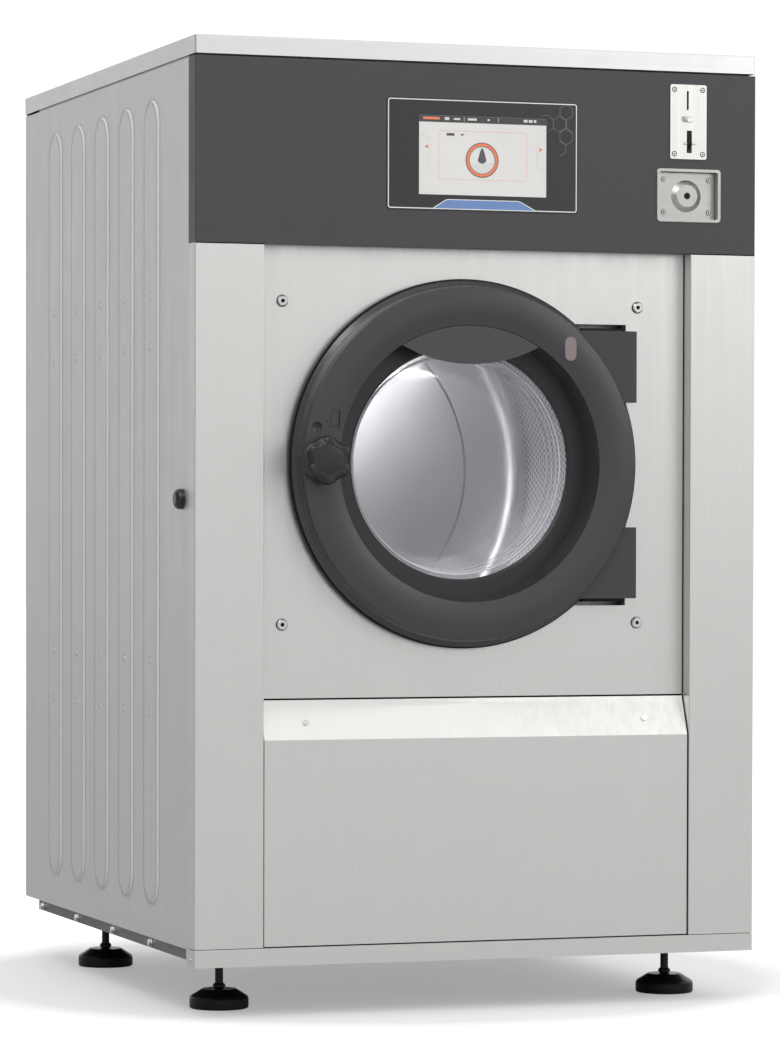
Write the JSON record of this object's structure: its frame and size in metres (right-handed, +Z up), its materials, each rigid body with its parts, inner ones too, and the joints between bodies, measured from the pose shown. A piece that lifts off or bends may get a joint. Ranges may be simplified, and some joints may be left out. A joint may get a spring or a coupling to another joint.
{
  "type": "coin-operated washing machine",
  "caption": "Front-loading coin-operated washing machine on levelling feet: ribbed side panels, round glass door with a knob, touch display, coin slot and locked coin box.",
  "frame": {"origin": "on the floor, under the centre of the bounding box", "axes": "+X right seen from the front, +Y from the front to the back, +Z up"},
  "size_m": [0.8932, 1.1, 1.423],
  "materials": {
    "brushed_stainless": "vertical brushed grain",
    "lid_stainless": "brushed grain from side to side",
    "grey_steel": "satin grey coat",
    "galvanised_steel": "dull zinc coat",
    "dark_fascia": "satin dark grey powder coat",
    "frame_paint": "satin dark coat",
    "bezel_black": "smooth",
    "screen_glass": "clear screen with a plain layout",
    "dark_plastic": "fine grain",
    "coin_steel": "fine brushed",
    "machined_steel": "turned",
    "door_ring_paint": "satin dark grey",
    "door_plate_paint": "satin black coat",
    "black_rubber": "matt",
    "door_glass": "clear, slightly grey",
    "visor_plastic": "smooth",
    "lamp_plastic": "frosted",
    "drum_stainless": "turned on the back, brushed on the wall",
    "tub_stainless": "rolled sheet",
    "cast_grey": "painted casting",
    "motor_paint": "satin grey blue coat",
    "bolt_steel": "bright zinc",
    "grey_plastic": "fine grain",
    "brass_fitting": "turned"
  },
  "bodies": {
    "cabinet": {"base_frame": "frame_paint", "base_front_rail": "frame_paint", "cabinet_posts": "galvanised_steel", "coin_acceptor": "galvanised_steel", "coin_box_tray": "coin_steel", "coin_plate": "coin_steel", "control_board_box": "dark_plastic", "control_fascia": "dark_fascia", "damper_bodies": "galvanised_steel", "display_bezel": "bezel_black", "display_screen": "screen_glass", "drain_collector": "grey_plastic", "foot_pads": "dark_plastic", "foot_stems": "bolt_steel", "front_column_left": "brushed_stainless", "front_column_right": "brushed_stainless", "front_panel": "brushed_stainless", "inlet_valves": "grey_plastic", "inverter_box": "grey_steel", "lower_service_panel": "brushed_stainless", "panel_bolts": "bolt_steel", "power_gland": "dark_plastic", "rail_bolts": "bolt_steel", "rear_panel": "galvanised_steel", "service_cap": "dark_plastic", "side_panel_left": "grey_steel", "side_panel_right": "grey_steel", "small_screws": "bolt_steel", "suspension_springs": "galvanised_steel", "top_panel": "lid_stainless"},
    "tub": {"tub_shell": "tub_stainless", "tub_front_plate": "tub_stainless", "tub_rear_plate": "tub_stainless", "door_gasket": "black_rubber", "hinge_brackets": "tub_stainless", "hinge_pins": "machined_steel", "door_lock_box": "dark_plastic", "damper_rods": "machined_steel", "bearing_housing": "cast_grey", "bearings_and_seal": "machined_steel", "motor_housing": "motor_paint", "drive_belt": "black_rubber", "drain_valve": "grey_plastic"},
    "drum": {"drum_shell": "drum_stainless", "drum_spider": "cast_grey", "drum_pulley": "cast_grey"},
    "motor_rotor": {"motor_pulley": "machined_steel"},
    "door": {"door_ring": "door_ring_paint", "door_back_plate": "door_plate_paint", "door_inner_ring": "black_rubber", "door_glass": "door_glass", "door_visor": "visor_plastic", "door_lamp": "lamp_plastic", "door_hinge_arms": "brushed_stainless"},
    "door_knob": {"door_knob": "dark_plastic"},
    "door_release_button": {"door_release_button": "grey_plastic"},
    "coin_release_slider": {"coin_release_slider": "coin_steel"},
    "coin_return_flap": {"coin_return_flap": "machined_steel"},
    "coin_box": {"coin_box": "coin_steel"},
    "coin_lock_cylinder": {"coin_lock_cylinder": "machined_steel"}
  },
  "joints": [
    {"name": "tub_bounce", "type": "slide", "parent": "cabinet", "child": "tub", "axis": [0, 0, 1], "range_m": [-0.004, 0.004], "stiffness_N_per_m": 80000, "springref_m": 0.02872, "deforming": ["suspension_springs"]},
    {"name": "drum_spin", "type": "hinge", "parent": "tub", "child": "drum", "pos_m": [-0.0161, -0.095, 0.807], "axis": [0, 1, 0], "continuous": true},
    {"name": "motor_spin", "type": "hinge", "parent": "tub", "child": "motor_rotor", "pos_m": [-0.0161, 0.405, 0.29], "axis": [0, 1, 0], "continuous": true},
    {"name": "door_hinge", "type": "hinge", "parent": "tub", "child": "door", "pos_m": [0.2444, -0.491, 0.807], "axis": [0, 0, 1], "range_deg": [0, 120]},
    {"name": "knob_turn", "type": "hinge", "parent": "door", "child": "door_knob", "pos_m": [-0.2476, -0.495, 0.8101], "axis": [0, 1, 0], "range_deg": [0, 90]},
    {"name": "button_press", "type": "slide", "parent": "door", "child": "door_release_button", "axis": [0, 1, 0], "range_m": [0, 0.003], "stiffness_N_per_m": 400, "springref_m": -0.002},
    {"name": "coin_release_slide", "type": "slide", "parent": "cabinet", "child": "coin_release_slider", "axis": [-1, 0, 0], "range_m": [0, 0.007], "stiffness_N_per_m": 150, "springref_m": -0.002},
    {"name": "return_flap_hinge", "type": "hinge", "parent": "cabinet", "child": "coin_return_flap", "pos_m": [0.3355, -0.4956, 1.2882], "axis": [-1, 0, 0], "range_deg": [0, 50], "stiffness_Nm_per_rad": 0.002, "springref_deg": -11.46},
    {"name": "coin_box_slide", "type": "slide", "parent": "cabinet", "child": "coin_box", "axis": [0, -1, 0], "range_m": [0, 0.15]},
    {"name": "coin_lock_turn", "type": "hinge", "parent": "coin_box", "child": "coin_lock_cylinder", "pos_m": [0.3354, -0.485, 1.2107], "axis": [0, 1, 0], "range_deg": [0, 90]}
  ],
  "couplings": [
    {"joint": "motor_spin", "follows": "drum_spin", "ratio": 4.1853}
  ]
}
